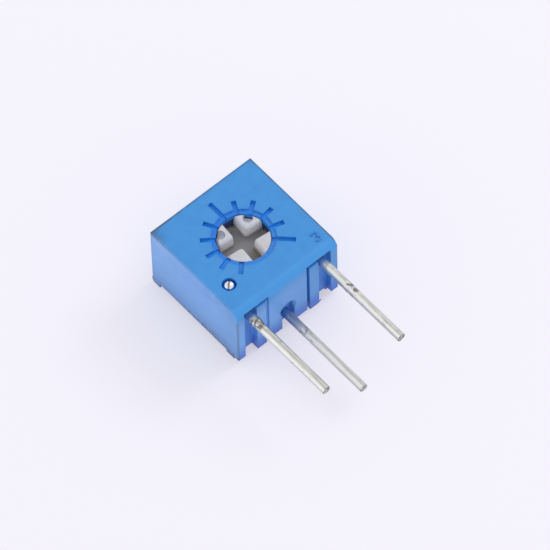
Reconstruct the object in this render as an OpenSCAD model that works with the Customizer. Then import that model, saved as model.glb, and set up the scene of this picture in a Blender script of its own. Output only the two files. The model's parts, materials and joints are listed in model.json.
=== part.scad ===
// Single-turn trimmer potentiometer, quarter-inch square, adjusted from the side.
//
// The origin is where the middle lead's axis crosses the board seating plane.
// The leads point along -Y, the dial face looks up along +Z, and the part lies on
// the feet round its open back. All sizes are in millimetres.

/* [Housing] */
// Width across the two side walls
body_w = 7.05; // [6.6:0.01:7.6]
// Depth from the board seating plane to the back wall
body_d = 7.06; // [6.8:0.01:7.6]
// Height from the open rim to the dial face
body_h = 4.5; // [4.3:0.01:5.0]
// Radius of the moulded edges
edge_r = 0.07; // [0.05:0.01:0.2]
// Radius of the long edge between the dial face and the lead side
nose_r = 0.62; // [0.5:0.01:1.1]
// Thickness of the two side walls
side_wall = 0.54; // [0.45:0.01:0.6]
// Thickness of the back wall
back_wall = 0.55; // [0.45:0.01:0.6]
// Thickness of the front wall behind the dial face
dial_wall = 0.4; // [0.35:0.01:0.5]

/* [Lead side] */
// Stand-off of the seating plane from the recessed wall
seat_off = 0.38; // [0.25:0.01:0.4]
// Thickness of the recessed wall
lead_wall = 0.47; // [0.4:0.01:0.5]
// Width of the post at each corner
post_w = 0.5; // [0.4:0.01:0.55]
// Width of the block in the middle
block_w = 2.66; // [2.4:0.01:2.8]
// Width of the grooves beside the block
groove_w = 0.2; // [0.12:0.01:0.25]
// Depth of the groove at the left of the block
groove_left = 0.1; // [0.05:0.01:0.35]
// Width of the rib beside each outer lead
rib_w = 0.64; // [0.5:0.01:0.66]
// Distance from the dial face down to the top of the ribs
rib_drop = 0.67; // [0.6:0.01:0.9]
// Distance from the dial face down to the recess ceiling
ceiling_drop = 0.4; // [0.35:0.01:0.5]
// Width of the arched niche round the middle lead
niche_w = 0.88; // [0.75:0.01:1.0]
// Height of the niche above the rim
niche_h = 2.0; // [1.6:0.01:2.2]
// Width of the bevel round the niche's arch
niche_bevel = 0.14; // [0.05:0.01:0.2]

/* [Feet] */
// Height of the four outer feet below the rim
foot_h = 0.34; // [0.25:0.01:0.45]
// How far the ribs reach below the rim
rib_foot_h = 0.19; // [0.1:0.01:0.24]
// Length of a foot along the wall
foot_l = 0.62; // [0.5:0.01:0.8]
// Width of a foot across the wall
foot_w = 0.45; // [0.35:0.01:0.5]
// How far the front side feet stand in from the side wall
foot_inset = 0.06; // [0.02:0.01:0.1]
// Distance from the seating plane to the front side feet
foot_y = 0.46; // [0.4:0.01:0.8]
// Radius of the lower back edge of the corner feet
foot_r = 0.24; // [0.1:0.01:0.25]

/* [Dial] */
// Diameter of the window over the rotor
window_d = 3.0; // [2.8:0.01:3.1]
// Outer diameter of the shallow ring round the window
ring_d = 3.5; // [3.4:0.01:3.8]
// Depth of the ring below the dial face
ring_deep = 0.1; // [0.05:0.01:0.15]
// Number of marks on the dial
mark_count = 11; // [5:2:11]
// Angle from the first mark to the last
mark_span = 270; // [240:1:280]
// Width of a mark
mark_w = 0.28; // [0.2:0.01:0.32]
// Depth of a mark below the dial face
mark_deep = 0.2; // [0.12:0.01:0.25]
// Radius at which a short mark ends
mark_short_r = 2.33; // [2.2:0.01:2.5]
// Radius at which a long mark ends
mark_long_r = 2.78; // [2.6:0.01:2.9]

/* [Leads] */
// Grid step between neighbouring leads, across and up
pitch = 2.54; // [2.5:0.01:2.6]
// Height of the middle lead's axis above the resting plane
lead_up = 1.18; // [1.1:0.01:1.3]
// Diameter of the lead wire
lead_d = 0.51; // [0.45:0.01:0.54]
// Length of lead 1 beyond the seating plane
lead_1_out = 5.98; // [4:0.01:8]
// Length of lead 2 beyond the seating plane
lead_2_out = 6.04; // [4:0.01:8]
// Length of lead 3 beyond the seating plane
lead_3_out = 6.18; // [4:0.01:8]
// Distance from the seating plane to where the wire is swaged to a key
key_from = 0.12; // [0.05:0.01:0.14]
// Distance from the seating plane to the legs inside the body
leg_in = 1.3; // [1.25:0.01:1.35]
// Bend radius of the wire at its centre line
bend_r = 0.5; // [0.4:0.01:0.55]
// Length of the outer legs below the substrate
leg_below = 0.3; // [0.15:0.01:0.4]

/* [Rotor] */
// Depth of the rotor's top below the dial face
rotor_sunk = 0.14; // [0.1:0.01:0.35]
// Width of the screwdriver slots near their floor
slot_w = 0.62; // [0.55:0.01:0.7]
// How far each wall of a slot leans out
slot_draft = 0.05; // [0.02:0.01:0.14]
// Bevel along the floor of the slots
slot_bevel = 0.08; // [0.04:0.01:0.12]
// Depth of the screwdriver slots
slot_deep = 0.92; // [0.6:0.01:0.92]
// Radius of the slots' rounded upper edges
slot_round = 0.2; // [0.1:0.01:0.25]
// Radius of the pointer pockets beside the marked slot
pocket_r = 0.28; // [0.2:0.01:0.3]
// Distance of the pocket centres from the rotor's axis
pocket_at = 1.28; // [1.2:0.01:1.35]
// Depth of the pointer pockets
pocket_deep = 0.33; // [0.2:0.01:0.4]
// Radius of the rotor's flange
flange_r = 2.22; // [2.1:0.01:2.24]
// Width of the seal, which lies on the flange under the dial wall
seal_w = 0.6; // [0.5:0.01:0.7]
// Thickness of the rotor's flange
flange_h = 0.55; // [0.4:0.01:0.6]
// Width of the stop lug, as an angle
lug_angle = 39; // [30:1:45]
// Angle of the pointer from the middle mark, clockwise negative
rotor_at = -5.7; // [-10:0.1:10]

/* [Inside] */
// Radius of the rotor chamber
chamber_r = 2.65; // [2.6:0.01:2.7]
// Width of the stop in the housing, as an angle
stop_angle = 50; // [40:1:60]
// Inner radius of the stop in the housing
stop_r = 2.28; // [2.26:0.01:2.35]
// Height of the wiper spring between the flange and the substrate
spring_h = 0.7; // [0.6:0.01:0.8]
// Thickness of the wiper metal
spring_t = 0.08; // [0.05:0.01:0.1]
// Number of wiper fingers on the track
finger_count = 4; // [2:1:4]
// Width of a wiper finger
finger_w = 0.16; // [0.12:0.01:0.2]
// Gap between two wiper fingers
finger_gap = 0.07; // [0.05:0.01:0.1]
// Thickness of the ceramic substrate
substrate_h = 0.6; // [0.5:0.01:0.65]
// Thickness of the printed films
film_h = 0.03; // [0.02:0.01:0.04]
// Radius of the middle of the resistor track
track_r = 2.0; // [1.9:0.01:2.05]
// Width of the resistor track
track_w = 0.5; // [0.4:0.01:0.55]
// Radius of the collector pad
collector_r = 0.75; // [0.6:0.01:0.8]
// Depth of the epoxy surface behind the rim
epoxy_sunk = 0.08; // [0.02:0.01:0.2]

/* [Vent] */
// Diameter of the steel ball
ball_d = 0.68; // [0.64:0.01:0.7]
// Diameter of the hole round the ball
vent_d = 0.8; // [0.74:0.01:0.84]
// Diameter of the bore that the ball closes
vent_bore_d = 0.6; // [0.5:0.01:0.62]
// Distance of the ball to the left of the rotor's axis
vent_x = 2.51; // [2.4:0.01:2.6]
// Distance of the ball in front of the rotor's axis
vent_y = 1.72; // [1.6:0.01:1.8]
// How far the ball stands out of the dial face
ball_proud = 0.08; // [0:0.01:0.1]

/* [Clearances] */
// Running clearance of the rotor in its window
run_gap = 0.03; // [0.02:0.01:0.08]
// Play between parts that are laid or dropped in
lay_gap = 0.05; // [0.02:0.01:0.08]
// Gap that parts cast or pressed together keep
cast_gap = 0.01; // [0.005:0.005:0.02]

/* [Hidden] */
$fn = 48;

// A length that reaches past any face of the part, for cuts
past = 1;

// Levels along Z, from the resting plane up to the dial face
rest_z = -lead_up;
rim_z = rest_z + foot_h;
face_z = rim_z + body_h;
inner_top_z = face_z - dial_wall;
rotor_top_z = face_z - rotor_sunk;
flange_top_z = rotor_top_z - slot_deep;
flange_low_z = flange_top_z - flange_h;
shelf_z = flange_low_z - spring_h;
substrate_low_z = shelf_z - substrate_h;
epoxy_low_z = rim_z + epoxy_sunk;

// Places along Y, from the seating plane to the back
axis_y = body_d / 2;
wall_in_y = seat_off + lead_wall;
pocket_d = body_d - back_wall - wall_in_y;
pocket_w = body_w - 2 * side_wall;

// Leads: the many-sided key in the wall, the slits and channels round them, and
// the length of a leg, up to the face of the substrate or down past its back
key_sides = 8;
key_r = lead_d / 2 + cast_gap;
slit_w = 2 * (key_r + cast_gap);
channel_w = lead_d + 2 * lay_gap;
leg_up = shelf_z;
leg_down = pitch - substrate_low_z + leg_below;

// Solder cones, and the pads that lead from the track to the outer leads
solder_r = 0.4;
solder_h = 0.33;
solder_neck = 0.03;
pad_w = 0.5;
pad_angle = -atan((axis_y - leg_in) / pitch);
pad_far = norm([pitch, axis_y - leg_in]) - channel_w / 2;

// Rotor and its seal
head_r = window_d / 2 - run_gap;
slot_foot = slot_round + slot_draft + slot_bevel;
slot_half = slot_w / 2 - slot_bevel + slot_foot;
seal_h = inner_top_z - flange_top_z - 2 * cast_gap;
lug_r = chamber_r - 2 * lay_gap;

// Wiper: hub, pegs that hold it, and the turned-up tips of its fingers
hub_r = 0.95;
hub_hole_r = 0.62;
peg_r = 0.13;
peg_at = 0.82;
peg_h = spring_t + 0.06;
tip_z = shelf_z + film_h + cast_gap;
tip_l = 0.14;
tip_lift = 0.15;

// Height of the ball's centre
ball_z = face_z + ball_proud - ball_d / 2;

// Rectangle from the origin with its own radius at each corner, in the order
// lower left, lower right, upper right, upper left
module cornered(w, h, r) {
    spots = [[0, 0, 0, 0], [w, 0, 1, 0], [w, h, 1, 1], [0, h, 0, 1]];
    difference() {
        square([w, h]);
        for (i = [0:3])
            if (r[i] > 0)
                translate([spots[i][0], spots[i][1]])
                    mirror([spots[i][2], 0])
                        mirror([0, spots[i][3]])
                            difference() {
                                translate([-past, -past]) square(r[i] + past);
                                translate([r[i], r[i]]) circle(r = r[i]);
                            }
    }
}

// Triangle from the centre that covers an angle of less than half a turn about +X
module wedge(reach, angle) {
    polygon([
        [0, 0],
        [reach, -reach * tan(angle / 2)],
        [reach, reach * tan(angle / 2)]
    ]);
}

// Part of a ring between two radii, centred on an angle
module sector(inner, outer, angle, centre) {
    rotate(centre)
        difference() {
            circle(r = outer);
            circle(r = inner);
            if (angle > 180)
                rotate(180) wedge(2 * outer, 360 - angle);
            else
                difference() {
                    square(4 * outer, center = true);
                    wedge(3 * outer, angle);
                }
        }
}

// Puts a lead's own frame, its axis along -Y at z = 0, where lead n belongs
module at_lead(n) {
    translate([(n - 2) * pitch, 0, n == 2 ? 0 : pitch]) children();
}

// Puts children at both sides of the part's middle plane
module both_sides() {
    children();
    mirror([1, 0, 0]) children();
}

// Outside of the moulding before its recesses are cut
module housing_block() {
    intersection() {
        translate([-body_w / 2, 0, rim_z])
            linear_extrude(body_h)
                cornered(body_w, body_d, [edge_r, edge_r, edge_r, edge_r]);
        translate([-body_w / 2, 0, rim_z])
            rotate([90, 0, 90])
                linear_extrude(body_w)
                    cornered(body_d, body_h, [0, 0, edge_r, nose_r]);
        translate([-body_w / 2, body_d, rim_z])
            rotate([90, 0, 0])
                linear_extrude(body_d)
                    cornered(body_w, body_h, [0, 0, edge_r / 2, edge_r / 2]);
    }
}

// Recess beside the block, which the outer lead leaves through
module side_recess() {
    translate([block_w / 2, -past, rest_z - past])
        cube([
            body_w / 2 - post_w - block_w / 2,
            past + seat_off,
            face_z - ceiling_drop - rest_z + past
        ]);
}

// Rib in the side recess that runs on below the rim
module rib() {
    rib_low_z = rim_z - rib_foot_h;
    translate([block_w / 2 + groove_w, 0, rib_low_z])
        rotate([90, 0, 90])
            linear_extrude(rib_w)
                cornered(foot_l, face_z - rib_drop - rib_low_z, [0, 0, 0, edge_r]);
}

// Floor of the shallower groove between the block and the left rib
module left_groove_floor() {
    translate([-block_w / 2 - groove_w, groove_left, rim_z])
        cube([groove_w, seat_off, face_z - rib_drop - rim_z]);
}

// Arched niche in the block, which the middle lead leaves through
module niche() {
    arch_z = rim_z + niche_h - niche_w / 2;
    translate([-niche_w / 2, -past, rest_z])
        cube([niche_w, past + seat_off, arch_z - rest_z]);
    translate([0, seat_off, arch_z])
        rotate([90, 0, 0])
            cylinder(d = niche_w, h = seat_off + past);
    translate([0, niche_bevel, arch_z])
        rotate([90, 0, 0])
            cylinder(d1 = niche_w, d2 = niche_w + 4 * niche_bevel, h = 2 * niche_bevel);
}

// Open slit through the recessed wall, closed round at the lead
module slit(lead_z) {
    translate([-slit_w / 2, -past, rest_z - past - lead_z])
        cube([slit_w, past + wall_in_y + cast_gap, past + lead_z - rest_z]);
    translate([0, wall_in_y + cast_gap, 0])
        rotate([90, 0, 0])
            cylinder(d = slit_w, h = past + wall_in_y);
}

// Foot that carries on the wall above it, with its lower back edge rounded
module wall_foot(x, y, w, r) {
    translate([x, y, rest_z])
        rotate([90, 0, 90])
            linear_extrude(w)
                cornered(foot_l, foot_h + edge_r, [0, r, 0, 0]);
}

// One straight mark of the dial, from the ring outwards
module mark(angle, end_r) {
    rotate(angle)
        translate([window_d / 2, -mark_w / 2])
            square([end_r - window_d / 2, mark_w]);
}

// All marks: the middle one and the last one are long
module dial_marks() {
    middle = (mark_count - 1) / 2;
    translate([0, axis_y, face_z - mark_deep])
        linear_extrude(mark_deep + past)
            difference() {
                for (i = [0:mark_count - 1])
                    mark(
                        90 + mark_span / 2 - i * mark_span / (mark_count - 1),
                        i == middle || i == mark_count - 1 ? mark_long_r : mark_short_r
                    );
                circle(d = window_d);
            }
}

// Window, ring, rotor chamber with its stop, and the pocket for the substrate
module chamber() {
    translate([0, axis_y, 0]) {
        translate([0, 0, face_z - ring_deep]) cylinder(d = ring_d, h = ring_deep + past);
        translate([0, 0, shelf_z]) cylinder(d = window_d, h = face_z - shelf_z + past);
        translate([0, 0, shelf_z - lay_gap])
            linear_extrude(flange_low_z - shelf_z + lay_gap)
                circle(r = chamber_r);
        translate([0, 0, flange_low_z])
            linear_extrude(inner_top_z - flange_low_z)
                difference() {
                    circle(r = chamber_r);
                    sector(stop_r, chamber_r + past, stop_angle, -90);
                }
    }
    translate([-pocket_w / 2, wall_in_y, rest_z - past])
        cube([pocket_w, pocket_d, shelf_z - rest_z + past]);
}

// Room in the corner for an outer lead's leg, and for the pad that leads to it
module lead_channel() {
    channel_back = leg_in + channel_w / 2;
    translate([pitch - channel_w / 2, wall_in_y, pitch - leg_down - lay_gap])
        cube([channel_w, channel_back - wall_in_y, leg_down + lead_d / 2 + 2 * lay_gap]);
    translate([0, axis_y, shelf_z - lay_gap])
        rotate(pad_angle)
            translate([track_r, -pad_w / 2 - lay_gap, 0])
                cube([pad_far - track_r, pad_w + 2 * lay_gap, film_h + 2 * lay_gap]);
}

// Hole for the ball, stepped so that the ball sits on the edge of the bore
module vent_hole() {
    drop = ball_z - face_z - sqrt(pow(ball_d / 2, 2) - pow(vent_bore_d / 2, 2));
    translate([-vent_x, axis_y - vent_y, 0]) {
        translate([0, 0, face_z + drop]) cylinder(d = vent_d, h = past - drop);
        translate([0, 0, shelf_z]) cylinder(d = vent_bore_d, h = face_z - shelf_z);
    }
}

module housing() {
    color([0.29, 0.59, 0.9])
        difference() {
            union() {
                difference() {
                    housing_block();
                    both_sides() side_recess();
                    niche();
                }
                both_sides() {
                    rib();
                    wall_foot(body_w / 2 - foot_inset - foot_w, foot_y, foot_w, 0);
                    wall_foot(body_w / 2 - side_wall, body_d - foot_l, side_wall, foot_r);
                }
                left_groove_floor();
            }
            chamber();
            dial_marks();
            vent_hole();
            both_sides() lead_channel();
            for (n = [1:3])
                at_lead(n) slit(n == 2 ? 0 : pitch);
        }
}

// Section of the land beside a slot, out from the centre of its rounded edge
module slot_land() {
    wall_h = slot_deep - slot_round;
    polygon([
        [0, 0],
        [slot_foot, 0],
        [slot_foot - slot_bevel, slot_bevel],
        [slot_round, wall_h],
        [0, wall_h]
    ]);
    translate([0, wall_h])
        intersection() {
            circle(r = slot_round);
            square(slot_round);
        }
}

// Section across a slot, from its floor up
module slot_profile() {
    difference() {
        translate([-slot_half, 0]) square([2 * slot_half, slot_deep + past]);
        for (side = [0, 1])
            mirror([side, 0])
                translate([-slot_half, 0]) slot_land();
    }
}

// Cut that rounds the corner of the land between the crossed slots
module slot_corner() {
    translate([slot_half, slot_half, 0])
        difference() {
            translate([-slot_foot, -slot_foot, 0])
                cube([slot_foot, slot_foot, slot_deep + past]);
            rotate_extrude() slot_land();
        }
}

// Turns children to the rotor's stored position; its pointer looks along +Y before
module at_rotor() {
    translate([0, axis_y, 0]) rotate(rotor_at) children();
}

module rotor() {
    color([0.86, 0.85, 0.84])
        at_rotor() {
            difference() {
                union() {
                    translate([0, 0, flange_low_z]) cylinder(r = flange_r, h = flange_h);
                    translate([0, 0, flange_low_z])
                        linear_extrude(flange_h)
                            sector(flange_r / 2, lug_r, lug_angle, 90);
                    rotate_extrude()
                        translate([0, flange_top_z])
                            cornered(head_r, slot_deep, [0, 0, edge_r / 2, 0]);
                }
                for (turn = [0, 90])
                    rotate([90, 0, turn])
                        translate([0, flange_top_z])
                            linear_extrude(2 * (head_r + run_gap), center = true)
                                slot_profile();
                for (turn = [0:90:270])
                    rotate(turn)
                        translate([0, 0, flange_top_z])
                            slot_corner();
                for (side = [-45, 45])
                    rotate(90 + side)
                        translate([pocket_at, 0, rotor_top_z - pocket_deep])
                            cylinder(r = pocket_r, h = pocket_deep + past);
            }
            for (turn = [0, 180])
                rotate(turn)
                    translate([peg_at, 0, flange_low_z - peg_h])
                        cylinder(r = peg_r, h = peg_h + flange_h / 2);
        }
}

module rotor_seal() {
    round_r = seal_w / 4;
    color([0.08, 0.08, 0.08])
        translate([0, axis_y, flange_top_z + cast_gap])
            rotate_extrude()
                translate([head_r + cast_gap, 0])
                    cornered(seal_w, seal_h, [round_r, round_r, round_r, round_r], $fn = 12);
}

// One finger of the wiper along +X: flat, down to the film, and up at the tip
module finger(from, knee, contact, across) {
    top = flange_low_z;
    tip = contact + tip_l;
    corner = spring_t / 2;
    translate([0, across + finger_w / 2, 0])
        rotate([90, 0, 0])
            linear_extrude(finger_w)
                polygon([
                    [from, top - spring_t],
                    [from, top],
                    [knee, top],
                    [contact, tip_z + spring_t + corner],
                    [tip, tip_z + spring_t + tip_lift],
                    [tip, tip_z + tip_lift],
                    [contact, tip_z],
                    [knee - corner, top - spring_t]
                ]);
}

module wiper() {
    step = finger_w + finger_gap;
    fan = (finger_count - 1) * step;
    color([0.85, 0.72, 0.45])
        at_rotor() {
            difference() {
                translate([0, 0, flange_low_z - spring_t]) cylinder(r = hub_r + peg_r, h = spring_t);
                translate([0, 0, flange_low_z - past]) cylinder(r = hub_hole_r, h = 2 * past);
                for (turn = [0, 180])
                    rotate(turn)
                        translate([peg_at, 0, flange_low_z - past])
                            cylinder(r = peg_r + cast_gap, h = 2 * past);
            }
            rotate(90) {
                for (i = [0:finger_count - 1])
                    finger(hub_r - peg_r, hub_r + 2 * peg_r, track_r, i * step - fan / 2);
                for (side = [-1, 1])
                    finger(-hub_r, -hub_hole_r, 0, side * step / 2);
            }
        }
}

// Blank of the substrate seen from above, notched where the leads pass
module substrate_outline() {
    notch = channel_w / 2;
    difference() {
        translate([-pocket_w / 2 + lay_gap, wall_in_y + lay_gap])
            square([pocket_w - 2 * lay_gap, pocket_d - 2 * lay_gap]);
        translate([-notch, 0]) square([2 * notch, leg_in]);
        translate([0, leg_in]) circle(r = notch);
        for (side = [-1, 1])
            translate([side * body_w / 2, 0])
                square([body_w - 2 * (pitch - notch), 2 * (leg_in + notch)], center = true);
    }
}

module substrate() {
    color([0.93, 0.92, 0.89])
        translate([0, 0, substrate_low_z])
            linear_extrude(substrate_h)
                substrate_outline();
}

module film() {
    translate([0, 0, shelf_z])
        linear_extrude(film_h)
            children();
}

module resistor_track() {
    color([0.13, 0.12, 0.12])
        film()
            translate([0, axis_y])
                sector(track_r - track_w / 2, track_r + track_w / 2, mark_span, 90);
}

// Pad at the right: from the end of the track to the notch for the lead
module end_pad() {
    color([0.78, 0.77, 0.74])
        film()
            intersection() {
                translate([0, axis_y])
                    difference() {
                        rotate(pad_angle)
                            translate([0, -pad_w / 2]) square([pad_far, pad_w]);
                        circle(r = track_r + track_w / 2);
                    }
                substrate_outline();
            }
}

module end_pad_1() mirror([1, 0, 0]) end_pad();

module end_pad_3() end_pad();

// Round pad under the rotor's centre, with a strip to the middle lead
module collector_pad() {
    strip_from = leg_in + channel_w / 2;
    color([0.78, 0.77, 0.74])
        film() {
            translate([0, axis_y]) circle(r = collector_r);
            translate([-pad_w / 2, strip_from]) square([pad_w, axis_y - strip_from]);
        }
}

// Lead with its axis along -Y: round outside, swaged to a key in the wall, bent
// towards +Z or -Z, with a leg that ends a given distance from the axis
module lead(out, leg, turn, grow = 0) {
    r = lead_d / 2 + grow;
    bend_y = leg_in - bend_r;
    translate([0, key_from, 0])
        rotate([90, 0, 0])
            cylinder(r = r, h = out + key_from);
    translate([0, bend_y, 0])
        rotate([90, 0, 0])
            rotate(180 / key_sides)
                cylinder(r = key_r + grow, h = bend_y - key_from, $fn = key_sides);
    mirror([0, 0, turn < 0 ? 1 : 0]) {
        translate([0, bend_y, bend_r])
            rotate([0, 90, 0])
                rotate_extrude(angle = 90)
                    translate([bend_r, 0]) circle(r = r);
        translate([0, leg_in, bend_r]) cylinder(r = r, h = leg - bend_r + grow);
    }
}

// Lead n in its place: the middle leg looks up, the outer legs look down
module lead_shape(n, grow = 0) {
    outs = [lead_1_out, lead_2_out, lead_3_out];
    at_lead(n)
        lead(outs[n - 1], n == 2 ? leg_up : leg_down, n == 2 ? 1 : -1, grow);
}

module terminal(n) {
    color([0.8, 0.8, 0.78]) lead_shape(n);
}

module terminal_1() terminal(1);

module terminal_2() terminal(2);

module terminal_3() terminal(3);

// Cone of solder round a leg, against the lower face of the substrate
module solder(n, grow = 0) {
    translate([(n - 2) * pitch, leg_in, substrate_low_z - solder_h - grow])
        cylinder(
            r1 = lead_d / 2 + solder_neck + grow,
            r2 = solder_r + grow,
            h = solder_h + grow
        );
}

module solder_joint(n) {
    color([0.72, 0.73, 0.74])
        difference() {
            solder(n);
            lead_shape(n, cast_gap / 2);
        }
}

module solder_1() solder_joint(1);

module solder_2() solder_joint(2);

module solder_3() solder_joint(3);

// Casting that closes the back, with tongues that fill the slits up to the leads
module epoxy_seal() {
    color([0.25, 0.42, 0.66])
        difference() {
            union() {
                translate([-pocket_w / 2, wall_in_y, epoxy_low_z])
                    cube([pocket_w, pocket_d, substrate_low_z - epoxy_low_z]);
                for (n = [1:3]) {
                    lead_z = n == 2 ? 0 : pitch;
                    translate([(n - 2) * pitch - slit_w / 2, seat_off, epoxy_low_z])
                        cube([slit_w, lead_wall, lead_z - epoxy_low_z]);
                }
            }
            for (n = [1:3]) {
                lead_shape(n, cast_gap / 2);
                solder(n, cast_gap / 2);
            }
        }
}

module vent_ball() {
    color([0.75, 0.76, 0.78])
        translate([-vent_x, axis_y - vent_y, ball_z])
            sphere(d = ball_d);
}

housing();
rotor();
rotor_seal();
wiper();
substrate();
resistor_track();
end_pad_1();
end_pad_3();
collector_pad();
terminal_1();
terminal_2();
terminal_3();
solder_1();
solder_2();
solder_3();
epoxy_seal();
vent_ball();
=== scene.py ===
"""Finishes, small details, floor, light and camera for a square trimmer potentiometer."""

import json
import math

import bmesh
import bpy
from mathutils import Matrix, Vector


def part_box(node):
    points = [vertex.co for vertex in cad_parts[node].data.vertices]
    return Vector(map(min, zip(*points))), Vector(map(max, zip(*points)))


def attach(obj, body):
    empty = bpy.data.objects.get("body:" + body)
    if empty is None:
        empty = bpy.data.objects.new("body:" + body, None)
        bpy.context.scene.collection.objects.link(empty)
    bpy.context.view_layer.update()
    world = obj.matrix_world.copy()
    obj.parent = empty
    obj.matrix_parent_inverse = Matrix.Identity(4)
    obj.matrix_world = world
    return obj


bl_info = {
    "name": "Trimmer potentiometer",
    "version": (1, 0, 0),
    "blender": (4, 5, 0),
    "location": "View3D > Sidebar > Trimmer",
    "description": "Dresses a square trimmer potentiometer and sets its stage",
    "category": "Object",
}

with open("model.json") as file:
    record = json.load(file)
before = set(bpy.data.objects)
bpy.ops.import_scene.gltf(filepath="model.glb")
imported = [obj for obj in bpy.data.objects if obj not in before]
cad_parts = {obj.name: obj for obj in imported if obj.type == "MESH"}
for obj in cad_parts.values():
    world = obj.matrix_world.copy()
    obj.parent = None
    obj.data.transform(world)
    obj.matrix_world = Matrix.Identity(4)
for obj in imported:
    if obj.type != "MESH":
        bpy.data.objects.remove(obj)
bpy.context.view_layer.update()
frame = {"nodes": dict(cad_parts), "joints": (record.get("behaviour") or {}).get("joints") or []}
MM = 0.001

# Levels and places of the solids, in metres
HOUSING_LOW, HOUSING_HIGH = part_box("housing")
FACE_Z = HOUSING_HIGH.z
REST_Z = HOUSING_LOW.z
HALF_W = HOUSING_HIGH.x
BACK_Y = HOUSING_HIGH.y
WALL_H = 4.5 * MM
RIM_Z = FACE_Z - WALL_H
AXIS = Vector(frame["joints"][0]["pos_m"])
ROTOR_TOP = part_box("rotor")[1].z
BALL_LOW, BALL_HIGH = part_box("vent_ball")
BALL = (Vector(BALL_LOW) + Vector(BALL_HIGH)) / 2
BALL_R = (BALL_HIGH.x - BALL_LOW.x) / 2
PITCH = 2.54 * MM
LEAD_R = 0.255 * MM

# Tints of the housing, besides those in its settings. The cloud and mottled tints are its own; the
# wall, nose, hole and numeral tints are painted light and shade
CLOUD_DARK = (0.86, 0.94, 0.96)
CLOUD_LIGHT = (1.2, 1.05, 1.03)
MOTTLED_BLUE = (0.05, 0.33, 0.8)
WALL_FOOT_SHADE_BLUE = (0.12, 0.31, 0.62)
WALL_FRONT_SHADE_BLUE = (0.11, 0.3, 0.66)
WALL_BACK_LIGHT_BLUE = (0.27, 0.5, 0.92)
LOW_SHADE_BLUE = (0.03, 0.13, 0.62)
NOSE_HIGHLIGHT_BLUE = (0.06, 0.36, 0.86)
BALL_HOLE_LIGHT_BLUE = (0.03, 0.3, 1.0)
NUMERAL_SHADE_BLUE = (0.015, 0.2, 0.6)

# Tints of the rotor and its seal; the slot wall tint is painted light and the gap tint a painted
# shadow
ROTOR_CLOUD = (0.6, 0.58, 0.55)
SLOT_WALL_LIT = (0.93, 0.9, 0.85)
SLOT_BROWN = (0.27, 0.22, 0.15)
POCKET_BROWN = (0.36, 0.27, 0.24)
GAP_SHADE_BLUE = (0.03, 0.05, 0.13)
HANDLED_TAN = (0.6, 0.5, 0.45)
SEAL_DARK = (0.008, 0.024, 0.12)
SEAL_LIGHT = (0.03, 0.065, 0.24)

# Tints of the leads; the white is a painted highlight, the edge greys are painted shade, the
# mirrored blue is a painted reflection, and the film blue is partly painted reflection
HIGHLIGHT_WHITE = (1.0, 1.0, 0.94)
DENT_GREY = (0.3, 0.3, 0.27)
PIT_GREY = (0.36, 0.35, 0.36)
EDGE_RIGHT_SHADE = (0.2, 0.2, 0.19)
EDGE_LEFT_SHADE = (0.4, 0.39, 0.42)
SCAR_GREY = (0.16, 0.15, 0.15)
CUT_GREY = (0.22, 0.2, 0.19)
MIRRORED_BLUE = (0.14, 0.18, 0.36)
FILM_AND_REFLECTION_BLUE = (0.035, 0.2, 0.56)

# Tints of the steel ball; the brown and the rim blue are painted reflections
STEEL_BRIGHT = (0.98, 0.97, 0.99)
STEEL_HAZE = (0.88, 0.87, 0.9)
REFLECTED_BROWN = (0.2, 0.16, 0.16)
MIRRORED_RIM_BLUE = (0.1, 0.2, 0.42)


def in_mm(value):
    return value / MM


class Signal:
    """The output of a node, which can be used in Python expressions."""

    def __init__(self, finish, socket):
        self.finish = finish
        self.socket = socket

    def __add__(self, other):
        return self.finish.calc("ADD", self, other)

    __radd__ = __add__

    def __sub__(self, other):
        return self.finish.calc("SUBTRACT", self, other)

    def __rsub__(self, other):
        return self.finish.calc("SUBTRACT", other, self)

    def __mul__(self, other):
        return self.finish.calc("MULTIPLY", self, other)

    __rmul__ = __mul__

    def __pow__(self, other):
        return self.finish.calc("POWER", self, other)

    def lowest(self, other):
        return self.finish.calc("MINIMUM", self, other)

    def highest(self, other):
        return self.finish.calc("MAXIMUM", self, other)

    def ramp(self, start, end, first=0.0, last=1.0):
        """Goes smoothly from first, where the signal is at start, to last, where it is at end."""
        if start > end:
            start, end, first, last = end, start, last, first
        return self.finish.node(
            "ShaderNodeMapRange",
            {"interpolation_type": "SMOOTHSTEP"},
            {0: self, 1: start, 2: end, 3: first, 4: last},
        )


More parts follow.
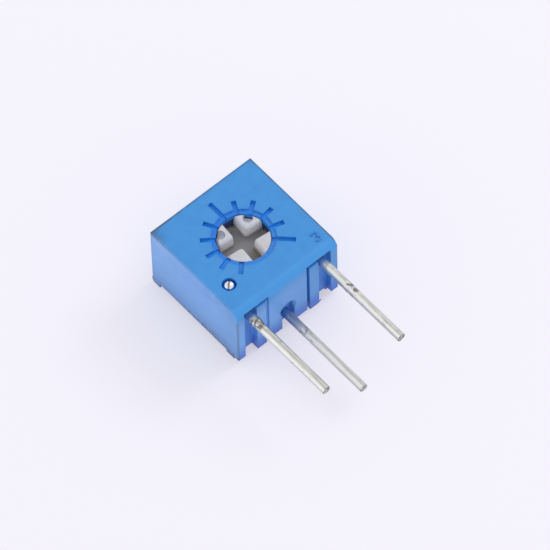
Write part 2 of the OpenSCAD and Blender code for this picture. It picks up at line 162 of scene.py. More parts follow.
class Finish:
    """Builds the nodes of one material."""

    def __init__(self, name, **uniform):
        self.material = bpy.data.materials.new(name)
        self.material.use_nodes = True
        self.tree = self.material.node_tree
        self.tree.nodes.clear()
        self.shader = self.tree.nodes.new("ShaderNodeBsdfPrincipled")
        self.output = self.tree.nodes.new("ShaderNodeOutputMaterial")
        self.tree.links.new(self.shader.outputs[0], self.output.inputs["Surface"])
        for key, value in uniform.items():
            self.set(key.replace("_", " "), value)

    def feed(self, socket, value):
        if isinstance(value, Signal):
            self.tree.links.new(value.socket, socket)
        elif socket.type == "RGBA":
            socket.default_value = (*value, 1)
        else:
            socket.default_value = value

    def set(self, name, value):
        """Sets or feeds a socket of the surface shader."""
        self.feed(self.shader.inputs[name], value)

    def node(self, kind, settings, sockets, output=0):
        """Adds a node, sets it up, feeds its sockets and gives back one of its outputs."""
        node = self.tree.nodes.new(kind)
        for key, value in settings.items():
            setattr(node, key, value)
        for key, value in sockets.items():
            self.feed(node.inputs[key], value)
        return Signal(self, node.outputs[output])

    def calc(self, operation, *values):
        return self.node("ShaderNodeMath", {"operation": operation}, dict(enumerate(values)))

    def mix(self, factor, a, b, how="MIX"):
        """Colour a, or b where factor is 1."""
        settings = {"data_type": "RGBA", "blend_type": how}
        return self.node("ShaderNodeMix", settings, {0: factor, 6: a, 7: b}, 2)

    def coat(self, colour, *layers):
        """Lays tints over a colour. A layer is its mask, its strength and its tint."""
        for mask, strength, tint in layers:
            colour = self.mix(mask * strength, colour, tint)
        return colour

    def place(self):
        """The point's place in the row frame at rest: as a vector and as x, y and z, in mm."""
        point = self.node("ShaderNodeTexCoord", {}, {}, "Object")
        scaled = self.node(
            "ShaderNodeVectorMath", {"operation": "SCALE"}, {0: point, "Scale": 1 / MM}
        )
        parts = [self.node("ShaderNodeSeparateXYZ", {}, {0: scaled}, i) for i in range(3)]
        return scaled, *parts

    def noise(self, point, scale, detail):
        return self.node(
            "ShaderNodeTexNoise",
            {"noise_dimensions": "3D"},
            {"Vector": point, "Scale": scale, "Detail": detail},
        )

    def stretch(self, point, factors):
        return self.node(
            "ShaderNodeVectorMath", {"operation": "MULTIPLY"}, {0: point, 1: factors}
        )

    def rounded(self, radius):
        """The surface's normal with every edge rounded to a radius in metres."""
        return self.node("ShaderNodeBevel", {"samples": 6}, {"Radius": radius})

    def bump(self, height, distance, normal):
        """Feeds the surface's normal: height is 0 to 1 and distance its size in metres."""
        sockets = {"Strength": 1.0, "Distance": distance, "Height": height, "Normal": normal}
        self.set("Normal", self.node("ShaderNodeBump", {}, sockets))

    def shine_to_eyes(self, colour, share):
        """Camera, glossy and transmission rays see a share of the plain colour, unshaded."""
        glow = self.tree.nodes.new("ShaderNodeEmission")
        self.feed(glow.inputs["Color"], colour)
        kinds = ("Is Camera Ray", "Is Glossy Ray", "Is Transmission Ray")
        seen = most(*(self.node("ShaderNodeLightPath", {}, {}, kind) for kind in kinds))
        blend = self.tree.nodes.new("ShaderNodeMixShader")
        self.feed(blend.inputs[0], seen * share)
        self.tree.links.new(self.shader.outputs[0], blend.inputs[1])
        self.tree.links.new(glow.outputs[0], blend.inputs[2])
        self.tree.links.new(blend.outputs[0], self.output.inputs["Surface"])


def most(mask, *others):
    """The highest of several masks at each point."""
    for other in others:
        mask = mask.highest(other)
    return mask


def distance(x, y, centre):
    """How far a point is from the upright line through a centre, in millimetres."""
    across = x - in_mm(centre.x)
    along = y - in_mm(centre.y)
    return (across * across + along * along) ** 0.5


def speckled(name, scale, detail, first, second, **uniform):
    """A finish whose colour wavers between two tints, and the noise that it follows."""
    finish = Finish(name, **uniform)
    noise = finish.noise(finish.place()[0], scale, detail)
    finish.set("Base Color", finish.mix(noise, first, second))
    return finish, noise


def dress(finish, *nodes):
    """Gives a finish to solids of the frame."""
    for name in nodes:
        for slot in frame["nodes"][name].material_slots:
            slot.material = finish.material


def waves(a, b, seed):
    """A smooth uneven value from -1 to 1 at a place."""
    return (
        math.sin(2.3 * a + 1.7 * seed)
        + math.sin(5.1 * a + 3.0 * b + seed)
        + math.sin(9.7 * a - 2.0 * b + 2.9 * seed)
    ) / 3


def grid_mesh(name, rings):
    """A skin over rings that all have the same count of points, capped at both ends."""
    count = len(rings[0])
    faces = []
    for i in range(len(rings) - 1):
        for j in range(count):
            k = (j + 1) % count
            faces.append((i * count + j, i * count + k, (i + 1) * count + k, (i + 1) * count + j))
    last = (len(rings) - 1) * count
    faces.append(tuple(reversed(range(count))))
    faces.append(tuple(range(last, last + count)))
    mesh = bpy.data.meshes.new(name)
    mesh.from_pydata([point for ring in rings for point in ring], [], faces)
    shell = bmesh.new()
    shell.from_mesh(mesh)
    bmesh.ops.recalc_face_normals(shell, faces=shell.faces)
    for face in shell.faces:
        face.smooth = True
    shell.to_mesh(mesh)
    shell.free()
    return mesh


def add_object(name, data):
    thing = bpy.data.objects.new(name, data)
    bpy.context.scene.collection.objects.link(thing)
    return thing


def add_piece(name, mesh, finish):
    """Adds a piece that stays with the housing."""
    mesh.materials.append(finish.material)
    piece = add_object(name, mesh)
    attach(piece, "body")


class HousingSettings(bpy.types.PropertyGroup):
    blue: bpy.props.FloatVectorProperty(
        name="Blue",
        description="Colour of the moulding on its plain faces",
        default=(0.045, 0.285, 0.7),
        size=3,
        subtype="COLOR",
    )
    # Painted light: pale blue that lightens the left wall and the lead side
    pale: bpy.props.FloatVectorProperty(
        name="Pale blue",
        description="Colour of the rubbed left wall and of the lead side near it",
        default=(0.18, 0.42, 0.88),
        size=3,
        subtype="COLOR",
    )
    # Painted shade: the deeper blue of the sunk ring
    ring_shade_blue: bpy.props.FloatVectorProperty(
        name="Ring blue",
        description="Colour of the sunk ring round the window",
        default=(0.008, 0.19, 0.73),
        size=3,
        subtype="COLOR",
    )
    # Painted shade: the deeper blue of the sunk marks
    mark_shade_blue: bpy.props.FloatVectorProperty(
        name="Deep blue",
        description="Colour of the sunk marks",
        default=(0.004, 0.285, 0.88),
        size=3,
        subtype="COLOR",
    )
    # Colour of painted shade along the edges, and of smudges on the back left corner and low on
    # the left wall
    grime_and_shade: bpy.props.FloatVectorProperty(
        name="Grime",
        description="Colour of the smudges on the edges",
        default=(0.06, 0.07, 0.1),
        size=3,
        subtype="COLOR",
    )
    softness: bpy.props.FloatProperty(
        name="Edge softness",
        description="Radius that the moulded edges seem to have",
        default=0.05 * MM,
        unit="LENGTH",
    )


class RotorSettings(bpy.types.PropertyGroup):
    plastic: bpy.props.FloatVectorProperty(
        name="Plastic",
        description="Colour of the rotor",
        default=(0.6, 0.63, 0.73),
        size=3,
        subtype="COLOR",
    )
    # Colour of soiling and painted shade on the slots' floor, and of the specks
    dust_and_shade: bpy.props.FloatVectorProperty(
        name="Dust",
        description="Colour of the dirt on the slots' floor",
        default=(0.17, 0.17, 0.18),
        size=3,
        subtype="COLOR",
    )
    softness: bpy.props.FloatProperty(
        name="Edge softness",
        description="Radius that the slots' edges seem to have",
        default=0.06 * MM,
        unit="LENGTH",
    )


class LeadSettings(bpy.types.PropertyGroup):
    tin: bpy.props.FloatVectorProperty(
        name="Tin",
        description="Colour of the tinned wire",
        default=(0.88, 0.88, 0.87),
        size=3,
        subtype="COLOR",
    )
    dull: bpy.props.FloatVectorProperty(
        name="Dull tin",
        description="Colour of the wire's dull streaks",
        default=(0.68, 0.68, 0.65),
        size=3,
        subtype="COLOR",
    )
    # Painted shade: darker tin along each wire's right side
    shaded_side: bpy.props.FloatVectorProperty(
        name="Patina",
        description="Colour of the tarnish along the wire's right side",
        default=(0.4, 0.4, 0.35),
        size=3,
        subtype="COLOR",
    )


class StageSettings(bpy.types.PropertyGroup):
    floor: bpy.props.FloatVectorProperty(
        name="Floor",
        description="Colour of the floor as the camera sees it",
        default=(0.945, 0.925, 1.0),
        size=3,
        subtype="COLOR",
    )
    daylight: bpy.props.FloatVectorProperty(
        name="Daylight",
        description="Colour of the even light from all round",
        default=(0.98, 0.98, 1.0),
        size=3,
        subtype="COLOR",
    )
    daylight_strength: bpy.props.FloatProperty(
        name="Daylight strength",
        description="Strength of the even light from all round",
        default=0.795,
    )
    azimuth: bpy.props.FloatProperty(
        name="Azimuth",
        description="Where the camera stands round the part",
        default=math.radians(-39.6),
        subtype="ANGLE",
    )
    elevation: bpy.props.FloatProperty(
        name="Elevation",
        description="How far the camera looks down",
        default=math.radians(58.28),
        subtype="ANGLE",
    )
    roll: bpy.props.FloatProperty(
        name="Roll",
        description="How far the camera leans to the side",
        default=math.radians(-1.78),
        subtype="ANGLE",
    )
    distance: bpy.props.FloatProperty(
        name="Distance",
        description="From the camera to the point that it looks at",
        default=0.4,
        unit="LENGTH",
    )
    lens: bpy.props.FloatProperty(
        name="Lens",
        description="Focal length in millimetres on a 36 mm sensor",
        default=489.6,
    )
    aim: bpy.props.FloatVectorProperty(
        name="Aim",
        description="Point that the camera looks at",
        default=(1.382 * MM, 2.692 * MM, -0.657 * MM),
        size=3,
        subtype="TRANSLATION",
        unit="LENGTH",
    )


def settings(part):
    return getattr(bpy.context.scene, f"trimmer_{part}")


class HousingPlace:
    """Where a point of the housing lies, in millimetres.

    deep is measured down from the dial face, over_rim up from the walls' lower edge,
    over_floor up from the feet's soles, and the rest inwards from the four sides.
    """

    def __init__(self, finish):
        self.point, self.x, self.y, z = finish.place()
        self.deep = in_mm(FACE_Z) - z
        self.over_rim = z - in_mm(RIM_Z)
        self.over_floor = z - in_mm(REST_Z)
        self.from_left = self.x + in_mm(HALF_W)
        self.from_right = in_mm(HALF_W) - self.x
        self.from_back = in_mm(BACK_Y) - self.y
        self.from_front = self.y


class TRIMMER_OT_housing(bpy.types.Operator):
    """Blue moulding with fine grain, a deeper colour that is painted shade in its marks, painted
    light and shade on its walls, and smudges and painted shade on its edges.
    """

    bl_idname = "trimmer.housing"
    bl_label = "Housing"

    def execute(self, context):
        values = settings("housing")
        finish = Finish("housing_blue")
        place = HousingPlace(finish)
        colour = self.plain(finish, values, place)
        colour = self.dial(finish, values, place, colour)
        colour = self.grime_and_shade(finish, values, place, colour)
        finish.set("Base Color", colour)
        self.grain(finish, place.point, finish.rounded(values.softness))
        dress(finish, "housing")

        self.numeral(finish)
        self.flash(finish)
        return {"FINISHED"}

    def plain(self, finish, values, place):
        """The moulding's own blue, cloudy and mottled. Paler on the lead side and the left wall,
        which is painted light; painted shade at the left wall's foot and front end and low on the
        walls, and a painted highlight on the nose.
        """
        cloud = finish.noise(place.point, 0.7, 3)
        tone = finish.mix((cloud - 0.5) * 1.2 + 0.5, CLOUD_DARK, CLOUD_LIGHT)
        colour = finish.mix(1.0, tone, values.blue, "MULTIPLY")
        mottled = finish.noise(place.point, 1.6, 4).ramp(0.4, 0.62)
        # Painted light: the walls are made paler below the face, most towards the left, and the
        # left wall paler still, most near its top
        lead_side_light = place.deep.ramp(0.3, 1.6) * place.x.ramp(4.2, -2.0)
        left = place.from_left.ramp(0.1, 0.01)
        painted_sheen = left * cloud.ramp(0.1, 0.6) * place.deep.ramp(5.0, 0.0, 0.3, 0.85)
        # Painted shade at the left wall's foot and front end, painted light at its back top
        left_foot_shade = left * place.deep.ramp(1.8, 4.6)
        left_front_shade = left * place.from_front.ramp(2.2, 0.2)
        left_back_light = left * place.from_front.ramp(4.6, 6.6) * place.deep.ramp(2.2, 0.2)
        # Painted shade low on the walls, near the floor
        low_shade = place.over_rim.ramp(1.5, 0.1) * (1.0 - left * 0.75)
        # Painted highlight on the nose
        nose = place.from_front.ramp(0.75, 0.45)
        nose = nose * place.deep.ramp(0.0, 0.05) * place.deep.ramp(0.66, 0.5)
        return finish.coat(
            colour,
            (mottled, 0.3, MOTTLED_BLUE),
            (lead_side_light, 0.75, values.pale),
            (painted_sheen, 1.0, values.pale),
            (left_foot_shade, 0.55, WALL_FOOT_SHADE_BLUE),
            (left_front_shade, 0.45, WALL_FRONT_SHADE_BLUE),
            (left_back_light, 0.5, WALL_BACK_LIGHT_BLUE),
            (low_shade, 0.8, LOW_SHADE_BLUE),
            (nose, 0.5, NOSE_HIGHLIGHT_BLUE),
        )

    def dial(self, finish, values, place, colour):
        """Painted shade in the sunk ring and the marks, painted light in the ball's hole, and
        painted shade on the numeral.
        """
        ring_r, marks_r, hole_r = 1.95, 3.0, 0.5
        away = place.y - in_mm(AXIS.y)
        radius = distance(place.x, place.y, AXIS)
        # Painted shade: deeper blue in the sunk ring, most on its far side and less on the right
        ring = radius.ramp(ring_r, ring_r - 0.35)
        ring = ring * away.ramp(-1.5, 0.5, 0.6, 0.95) * place.x.ramp(0.6, 1.6, 1.0, 0.7)
        # Painted shade: deeper blue in the sunk marks
        marks = place.deep.ramp(0.1, 0.17) * place.deep.ramp(1.0, 0.9)
        marks = marks * radius.ramp(marks_r, marks_r - 0.1)
        inner_front = away.ramp(-0.4, -1.2) * radius.ramp(ring_r + 0.1, ring_r - 0.15)
        marks = marks * (1.0 - inner_front * 0.7)
        # Painted light: a bright blue lifts the shade in the ball's hole
        hole = distance(place.x, place.y, BALL).ramp(hole_r, hole_r - 0.05)
        # Painted shade on the numeral above the face
        numeral_shade = place.deep.ramp(-0.005, -0.02)
        return finish.coat(
            colour,
            (ring, 1.0, values.ring_shade_blue),
            (marks, 0.85, values.mark_shade_blue),
            (hole * place.deep.ramp(0.01, 0.08), 1.0, BALL_HOLE_LIGHT_BLUE),
            (numeral_shade, 0.5, NUMERAL_SHADE_BLUE),
        )

    def grime_and_shade(self, finish, values, place, colour):
        """Painted shade along the top edges, a smudge on the back left corner, darker lines on the
        upright edges, darker soles, and stains at the foot of the left wall.
        """
        patchy = finish.noise(place.point, 2.6, 4)
        fine = finish.noise(place.point, 7.0, 3)
        dirt_and_shade = most(
            self.top_edge_shade_and_grime(place, patchy, fine),
            self.upright_edge_lines(place),
            self.foot_grime(place, patchy, fine),
        )
        return finish.mix(dirt_and_shade.lowest(0.9), colour, values.grime_and_shade)

    def top_edge_shade_and_grime(self, place, patchy, fine):
        """Painted shade along the back, right and left edges of the face and on its back right
        corner, and a smudge on its back left corner.
        """
        high = place.deep.ramp(0.22, 0.04)
        # Painted shade on the roundings of the top edges, broken up by noise
        back = place.from_back.ramp(0.2, 0.07) * high
        back = back * place.x.ramp(-0.4, -3.0, 0.5, 0.9) * patchy.ramp(0.25, 0.5, 0.3, 1.0)
        right = place.from_right.ramp(0.14, 0.04) * high * patchy.ramp(0.3, 0.55, 0.3, 0.7)
        left = place.from_left.ramp(0.1, 0.02) * high * fine.ramp(0.3, 0.6, 0.4, 1.0)
        left = left * place.from_back.ramp(2.4, 0.5, 0.2, 0.75)
        right_corner = place.from_right.ramp(0.45, 0.0) * place.from_back.ramp(0.5, 0.0) * high
        left_corner = place.from_left.ramp(0.75, 0.02) * place.from_back.ramp(1.3, 0.1)
        left_corner = left_corner * place.deep.ramp(0.5, 0.0) * patchy.ramp(0.25, 0.6)
        return most(back, right, left, right_corner * 0.6, left_corner * 0.62)

    def upright_edge_lines(self, place):
        """Darker lines on the back left edge and on both edges of the lead side."""
        # Darker lines along the upright edges
        back_left = place.from_left.ramp(0.13, 0.03) * place.from_back.ramp(0.13, 0.03)
        front_left = place.from_left.ramp(0.16, 0.02) * place.from_front.ramp(0.16, 0.02)
        front_left = front_left * place.deep.ramp(0.6, 0.9)
        front_right = place.from_right.ramp(0.12, 0.02) * place.from_front.ramp(0.14, 0.03)
        return most(back_left * 0.55, front_left * 0.42, front_right * 0.45)

    def foot_grime(self, place, patchy, fine):
        """Darker soles near the floor, and stains, a smear and a rub low on the left wall."""
        sole = place.over_floor.ramp(0.2, 0.08) * fine.ramp(0.3, 0.6, 0.35, 0.7)
        left = place.from_left.ramp(0.15, 0.05)
        stain = left * place.over_rim.ramp(0.4, 0.14) * fine.ramp(0.42, 0.58, 0.2, 0.85)
        stain = stain * place.from_front.ramp(6.0, 2.5, 0.4, 1.0)
        smear = left * place.over_rim.ramp(1.1, 0.1) * patchy.ramp(0.36, 0.7)
        smear = smear * place.from_front.ramp(3.6, 2.6) * place.from_front.ramp(0.5, 1.2)
        rub = place.from_left.ramp(0.12, 0.03) * place.from_front.ramp(0.85, 0.6)
        rub = rub * place.over_rim.ramp(0.1, 0.0) * fine.ramp(0.35, 0.5)
        return most(sole, stain, smear * 0.6, rub * 0.6)

    def grain(self, finish, point, soft):
        """Spark-eroded grain over slow waves, with duller patches."""
        sparks = finish.noise(point, 16, 3)
        slow = finish.noise(point, 1.1, 2)
        finish.set("Roughness", finish.noise(point, 2.2, 3) * 0.16 + 0.3)
        finish.bump(sparks * 0.35 + slow, 0.012 * MM, soft)

    def numeral(self, finish):
        """Raised 3 beside the third lead: a round bar bent along two arcs."""
        centre = Vector((2.86 * MM, 0.98 * MM, FACE_Z + 0.015 * MM))
        high, wide, thick = 0.54 * MM, 0.36 * MM, 0.06 * MM
        steps, sides = 14, 10
        path = []
        for half, start, end in ((1, 150, -90), (-1, 90, -150)):
            for i in range(steps + 1):
                angle = math.radians(start + (end - start) * i / steps)
                across = wide / 2 * math.cos(angle)
                up = half * high / 4 + high / 4 * math.sin(angle)
                path.append(Vector((across, up, 0)))
        # The arcs meet in the middle, where one point is enough
        del path[steps + 1]
        rings = []
        for i, spot in enumerate(path):
            ahead = path[min(i + 1, len(path) - 1)] - path[max(i - 1, 0)]
            aside = Vector((-ahead.y, ahead.x, 0)).normalized()
            ring = []
            for j in range(sides):
                turn = math.tau * j / sides
                lift = Vector((0, 0, thick * math.sin(turn)))
                ring.append(centre + spot + aside * thick * math.cos(turn) + lift)
            rings.append(ring)
        add_piece("numeral_3", grid_mesh("numeral_3", rings), finish)

    def flash(self, finish):
        """Ragged fins of moulding flash under the left wall and beside the right rib."""
        inset, thick, root = 0.02 * MM, 0.035 * MM, 0.04 * MM
        left = inset - HALF_W
        rib_foot = RIM_Z - 0.14 * MM
        backwards, rightwards = Vector((0, 1, 0)), Vector((1, 0, 0))
        runs = (
            ("flash_wall", (left, 1.5 * MM, RIM_Z), backwards, 1.7 * MM, 0.1 * MM),
            ("flash_back", (left, 4.2 * MM, RIM_Z), backwards, 1.1 * MM, 0.06 * MM),
            ("flash_rib", (1.85 * MM, inset, rib_foot), rightwards, 0.5 * MM, 0.12 * MM),
        )
        steps = 40
        for number, (name, start, along, length, drop) in enumerate(runs):
            across = Vector((along.y, along.x, 0)) * thick
            rise = Vector((0, 0, root))
            rings = []
            for i in range(steps + 1):
                t = i / steps
                ragged = abs(waves(7 * t, 0, number + 1.3)) * math.sin(math.pi * t)
                tip = Vector((0, 0, -drop * ragged))
                spot = Vector(start) + along * length * t
                rings.append([spot + rise, spot + across * 0.3 + tip, spot + across + rise])
            add_piece(name, grid_mesh(name, rings), finish)


class TRIMMER_OT_rotor(bpy.types.Operator):
    """Light grey rotor with soft slot edges, and the black seal under the dial wall."""

    bl_idname = "trimmer.rotor"
    bl_label = "Rotor"

    def execute(self, context):
        values = settings("rotor")
        finish = Finish("rotor_grey")
        point, x, y, z = finish.place()
        finish.set("Base Color", self.colour(finish, values, point, x, y, z))
        finish.set("Roughness", finish.noise(point, 3, 3) * 0.2 + 0.36)
        finish.bump(finish.noise(point, 14, 3), 0.006 * MM, finish.rounded(values.softness))
        dress(finish, "rotor")

        rubber, tone = speckled("seal_black", 6, 2, SEAL_DARK, SEAL_LIGHT)
        rubber.set("Roughness", tone * 0.2 + 0.4)
        dress(rubber, "rotor_seal")
        return {"FINISHED"}

    def colour(self, finish, values, point, x, y, z):
        """Clouded grey with painted light on the slot walls, soiling and painted shade on the
        floor, brown blots, a painted shadow in the gap at the left, tan handling marks and specks.
        """
        front_spot = AXIS + Vector((0.25, -0.85, 0)) * MM
        left_spot = AXIS + Vector((-1.2, -0.1, 0)) * MM
        radius = distance(x, y, AXIS)
        away = y - in_mm(AXIS.y)
        sunk = in_mm(ROTOR_TOP) - z
        cloud = finish.noise(point, 1.3, 3).ramp(0.42, 0.66)
        front_blot = distance(x, y, front_spot).ramp(0.55, 0.15) * sunk.ramp(0.3, 0.6)
        left_blot = distance(x, y, left_spot).ramp(0.5, 0.1) * sunk.ramp(0.2, 0.5)
        # Painted shadow in the gap at the rotor's left edge
        left_gap_shade = radius.ramp(1.28, 1.4) * x.ramp(-0.5, -1.1) * away.ramp(-0.7, 0.0)
        handled = finish.noise(point, 1.9, 2).ramp(0.5, 0.62) * radius.ramp(0.7, 1.3)
        specks = finish.noise(point, 11, 2).ramp(0.66, 0.72)
        return finish.coat(
            values.plastic,
            (cloud, 0.7, ROTOR_CLOUD),
            # Painted light on the upper slot walls
            (sunk.ramp(0.06, 0.3), 0.65, SLOT_WALL_LIT),
            # Soiling and painted shade on the slots' floor
            (sunk.ramp(0.45, 0.85), 0.85, values.dust_and_shade),
            (front_blot, 0.8, SLOT_BROWN),
            (left_gap_shade, 0.75, GAP_SHADE_BLUE),
            (left_blot, 0.6, POCKET_BROWN),
            (handled, 0.35, HANDLED_TAN),
            (specks, 0.4, values.dust_and_shade),
        )


class TRIMMER_OT_leads(bpy.types.Operator):
    """Bright tinned wires with drawing lines, dents and dull cut ends, and lumps of tinning."""

    bl_idname = "trimmer.leads"
    bl_label = "Leads"

    def execute(self, context):
        values = settings("leads")
        finish = Finish("tinned_wire")
        point, x, y, z = finish.place()
        leads = self.apart(x)
        middle = leads[1]
        along = finish.stretch(point, (9, 0.7, 9))
        streaks = finish.noise(along, 1, 3)
        dents = finish.noise(finish.stretch(point, (3.0, 1.5, 3.0)), 1.4, 4)
        # Partly a blue coat of casting, partly painted reflection of the blue housing, near the
        # body
        film = (y + (finish.noise(point, 5, 3) - 0.5) * 0.5).ramp(-0.2, 0.0)
        colour = finish.coat(
            self.tin(finish, values, point, x, z, leads, streaks, dents),
            (self.scars(finish, point, x, y, leads), 0.85, SCAR_GREY),
            (self.cut_ends(finish, point), 1.0, CUT_GREY),
            (middle * y.ramp(-1.5, -0.8), 0.5, MIRRORED_BLUE),
            (film, 0.85, FILM_AND_REFLECTION_BLUE),
        )
        finish.set("Base Color", colour)
        finish.set("Metallic", 0.9 - middle * y.ramp(-0.5, -1.3) * 0.75 - film * 0.8)
        finish.set("Roughness", finish.noise(point, 3, 3) * 0.3 + 0.25)
        ripple = finish.noise(along, 3, 3) * 0.5 + dents
        finish.bump(ripple, 0.025 * MM, finish.rounded(0.03 * MM))
        dress(finish, "terminal_1", "terminal_2", "terminal_3", "solder_1", "solder_2", "solder_3")

        self.tinning("tinning_1", finish, x=-PITCH, near=0.3, far=-1.3, swell=0.05, seed=1)
        self.tinning("tinning_3_base", finish, x=PITCH, near=0.3, far=-0.9, swell=0.025, seed=2)
        self.tinning("tinning_3_mid", finish, x=PITCH, near=-1.3, far=-2.9, swell=0.035, seed=3)
        return {"FINISHED"}

    def apart(self, x):
        """The masks of leads 1, 2 and 3, which tell them apart."""
        half_way = in_mm(PITCH) / 2
        first = x.ramp(0.01 - half_way, -half_way)
        third = x.ramp(half_way - 0.01, half_way)
        return first, 1.0 - first - third, third

    def tin(self, finish, values, point, x, z, leads, streaks, dents):
        """Streaked and dented tin with pits, a painted highlight along each wire, and painted
        shade on its right side and on both edges.
        """
        aside = self.aside(x, z, leads) + (streaks - 0.5) * 0.12 - (1.0 - leads[0]) * 0.06
        # Painted highlight: a white stripe along each wire
        reflected_band = aside.ramp(-0.19, -0.14) * aside.ramp(0.0, -0.06)
        pits = finish.noise(finish.stretch(point, (9, 4, 9)), 1, 3).ramp(0.62, 0.7)
        return finish.coat(
            values.tin,
            (streaks.ramp(0.35, 0.65), 1.0, values.dull),
            (dents.ramp(0.6, 0.7), 0.55, DENT_GREY),
            (reflected_band, 0.85, HIGHLIGHT_WHITE),
            (pits * aside.ramp(-0.02, -0.14), 0.6, PIT_GREY),
            # Painted shade: darker along the right side
            (aside.ramp(-0.04, 0.06), 0.5, values.shaded_side),
            # Painted shade on both edges
            (aside.ramp(0.19, 0.25), 0.6, EDGE_RIGHT_SHADE),
            (aside.ramp(-0.2, -0.24), 0.5, EDGE_LEFT_SHADE),
        )

    def aside(self, x, z, leads):
        """Offset from the own lead's axis towards the upper right, in millimetres."""
        first, _, third = leads
        over = x + (first - third) * in_mm(PITCH)
        up = z - (first + third) * in_mm(PITCH)
        return over * 0.93 + up * 0.37

    def scars(self, finish, point, x, y, leads):
        """Dark dents in the tin near the body on leads 1 and 2 and further out on lead 3."""
        rough = finish.noise(point, 4.5, 3).ramp(0.46, 0.56)
        first, second, third = leads
        first = first * y.ramp(-1.05, -0.9) * y.ramp(0.15, 0.0)
        second = second * y.ramp(-1.7, -1.5) * y.ramp(-1.0, -1.2)
        third = third * y.ramp(-2.75, -2.5) * y.ramp(-1.75, -1.95)
        third = third * (x - in_mm(PITCH)).ramp(-0.14, -0.04)
        return rough * most(first, second * 0.7, third)

    def cut_ends(self, finish, point):
        """Blotches on the ends of the wires."""
        normal = finish.node("ShaderNodeNewGeometry", {}, {}, "Normal")
        facing_out = finish.node("ShaderNodeSeparateXYZ", {}, {0: normal}, 1).ramp(-0.6, -0.9)
        return facing_out * finish.noise(point, 9, 2).ramp(0.3, 0.6)

    def tinning(self, name, finish, x, near, far, swell, seed):
        """Uneven coat round an outer lead. Its run near to far and its swell are in mm."""
        skin = 0.004 * MM
        steps, sides = 48, 24
        rings = []
        for i in range(steps + 1):
            t = i / steps
            y = near + (far - near) * t
            fade = math.sin(math.pi * t) ** 0.5
            ring = []
            for j in range(sides):
                turn = math.tau * j / sides
                lump = 0.5 + 0.5 * waves(1.3 * y, 1.1 * math.sin(turn + seed), seed)
                radius = LEAD_R + swell * lump * fade * MM - skin
                across, up = radius * math.cos(turn), radius * math.sin(turn)
                ring.append(Vector((x + across, y * MM, PITCH + up)))
            rings.append(ring)
        add_piece(name, grid_mesh(name, rings), finish)


class TRIMMER_OT_vent_ball(bpy.types.Operator):
    """Polished steel ball, with a dark stripe and the blue rim that it mirrors painted on as
    reflections.
    """

    bl_idname = "trimmer.vent_ball"
    bl_label = "Vent ball"

    def execute(self, context):
        finish = Finish("ball_steel", Metallic=1.0)
        point, x, y, z = finish.place()
        haze = finish.noise(point, 12, 3)
        # Sideways over the ball, nearly along the picture's width
        sideways = (x - in_mm(BALL.x)) * 0.68 - (y - in_mm(BALL.y)) * 0.73
        # Painted reflections: a dark brown stripe across the ball, and the blue rim of its hole
        # low on it
        reflected_band = sideways.ramp(-0.09, -0.03) * sideways.ramp(0.07, 0.01)
        rim = (in_mm(BALL.z + BALL_R) - z).ramp(0.19, 0.3)
        colour = finish.coat(
            STEEL_BRIGHT,
            (haze, 1.0, STEEL_HAZE),
            (reflected_band, 0.85, REFLECTED_BROWN),
            (rim, 0.8, MIRRORED_RIM_BLUE),
        )
        finish.set("Base Color", colour)
        finish.set("Roughness", haze * 0.12 + 0.08)
        dress(finish, "vent_ball")
        return {"FINISHED"}


class TRIMMER_OT_insides(bpy.types.Operator):
    """Ceramic substrate with its fired films, the wiper and the blue casting of the back."""

    bl_idname = "trimmer.insides"
    bl_label = "Insides"

    def execute(self, context):
        pale, shaded = (0.86, 0.85, 0.81), (0.76, 0.75, 0.72)
        ceramic = speckled("alumina", 20, 3, pale, shaded, Roughness=0.6)[0]
        dress(ceramic, "substrate")

        black, soot = (0.02, 0.02, 0.022), (0.06, 0.06, 0.06)
        track = speckled("track_black", 25, 3, black, soot, Roughness=0.35)[0]
        dress(track, "resistor_track")

        silver, grey = (0.72, 0.7, 0.66), (0.55, 0.54, 0.5)
        film, speckle = speckled("conductor_film", 22, 3, silver, grey, Metallic=1.0)
        film.set("Roughness", speckle * 0.2 + 0.35)
        dress(film, "end_pad_1", "end_pad_3", "collector_pad")

        gold, brass = (0.78, 0.66, 0.42), (0.66, 0.55, 0.36)
        alloy, tone = speckled("wiper_alloy", 5, 3, gold, brass, Metallic=1.0)
        alloy.set("Roughness", tone * 0.2 + 0.2)
        dress(alloy, "wiper")

        deep, light = (0.05, 0.2, 0.64), (0.075, 0.27, 0.76)
        casting = speckled("blue_epoxy", 1.4, 4, deep, light, Roughness=0.5)[0]
        swell = casting.noise(casting.place()[0], 0.8, 2)
        casting.bump(swell, 0.06 * MM, casting.rounded(0.03 * MM))
        dress(casting, "epoxy_seal")
        return {"FINISHED"}


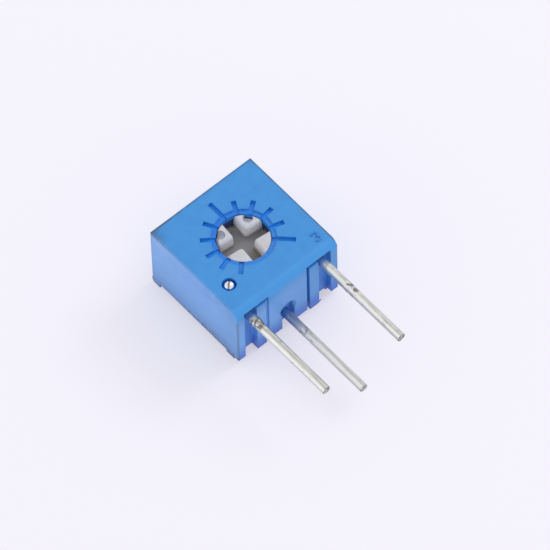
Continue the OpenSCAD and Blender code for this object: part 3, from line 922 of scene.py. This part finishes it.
class TRIMMER_OT_stage(bpy.types.Operator):
    """Pale floor, a lamp on the right, a weak one on the left, even light and the camera."""

    bl_idname = "trimmer.stage"
    bl_label = "Stage"

    def execute(self, context):
        values = settings("stage")
        self.floor(values)
        self.lamp("right_softbox", place=Vector((0.3, -0.02, 0.26)), size=0.2, watts=0.4)
        self.lamp("left_softbox", place=Vector((-0.29, 0.14, 0.12)), size=0.34, watts=0.06)
        self.world(values)
        self.camera(values)
        context.scene.view_settings.view_transform = "Standard"
        return {"FINISHED"}

    def floor(self, values):
        half = 1.5
        mesh = bpy.data.meshes.new("floor")
        corners = [(-half, -half), (half, -half), (half, half), (-half, half)]
        mesh.from_pydata([(x, y, REST_Z) for x, y in corners], [], [(0, 1, 2, 3)])
        finish = Finish("floor_white", Roughness=0.9, Specular_IOR_Level=0.1)
        finish.set("Base Color", values.floor)
        finish.shine_to_eyes(values.floor, share=0.5)
        mesh.materials.append(finish.material)
        add_object("floor", mesh)

    def lamp(self, name, place, size, watts):
        """A round lamp that faces the dial and that the camera doesn't see."""
        light = bpy.data.lights.new(name, "AREA")
        light.shape = "DISK"
        light.size = size
        light.energy = watts
        lamp = add_object(name, light)
        lamp.location = place
        lamp.rotation_mode = "QUATERNION"
        lamp.rotation_quaternion = (AXIS - place).to_track_quat("-Z", "Y")
        lamp.visible_camera = False

    def world(self, values):
        world = bpy.data.worlds.new("studio")
        world.use_nodes = True
        background = world.node_tree.nodes["Background"]
        background.inputs["Color"].default_value = (*values.daylight, 1)
        background.inputs["Strength"].default_value = values.daylight_strength
        bpy.context.scene.world = world

    def camera(self, values):
        back = Vector((
            math.sin(values.azimuth) * math.cos(values.elevation),
            -math.cos(values.azimuth) * math.cos(values.elevation),
            math.sin(values.elevation),
        ))
        camera = bpy.data.cameras.new("camera")
        camera.lens = values.lens
        camera.sensor_width = 36
        camera.clip_start = values.distance / 100
        camera.clip_end = values.distance * 100
        stand = add_object("camera", camera)
        stand.location = Vector(values.aim) + back * values.distance
        stand.rotation_mode = "QUATERNION"
        level = (-back).to_track_quat("-Z", "Y").to_matrix()
        stand.rotation_quaternion = (level @ Matrix.Rotation(values.roll, 3, "Z")).to_quaternion()
        bpy.context.scene.camera = stand


class TRIMMER_PT_panel(bpy.types.Panel):
    bl_idname = "TRIMMER_PT_panel"
    bl_label = "Trimmer potentiometer"
    bl_space_type = "VIEW_3D"
    bl_region_type = "UI"
    bl_category = "Trimmer"

    def draw(self, context):
        for operator in OPERATORS:
            self.layout.operator(operator.bl_idname)
        for part, group in SETTINGS.items():
            box = self.layout.box()
            for name in group.__annotations__:
                box.prop(settings(part), name)


OPERATORS = [
    TRIMMER_OT_stage,
    TRIMMER_OT_housing,
    TRIMMER_OT_rotor,
    TRIMMER_OT_insides,
    TRIMMER_OT_leads,
    TRIMMER_OT_vent_ball,
]

SETTINGS = {
    "stage": StageSettings,
    "housing": HousingSettings,
    "rotor": RotorSettings,
    "leads": LeadSettings,
}


def register():
    for group in [*SETTINGS.values(), *OPERATORS, TRIMMER_PT_panel]:
        bpy.utils.register_class(group)
    for part, group in SETTINGS.items():
        setattr(bpy.types.Scene, f"trimmer_{part}", bpy.props.PointerProperty(type=group))


def unregister():
    for part in SETTINGS:
        delattr(bpy.types.Scene, f"trimmer_{part}")
    for group in [TRIMMER_PT_panel, *reversed(OPERATORS), *reversed(SETTINGS.values())]:
        bpy.utils.unregister_class(group)


def main():
    register()
    bpy.ops.trimmer.stage()
    bpy.ops.trimmer.housing()
    bpy.ops.trimmer.rotor()
    bpy.ops.trimmer.insides()
    bpy.ops.trimmer.leads()
    bpy.ops.trimmer.vent_ball()


if __name__ == "__main__":
    main()
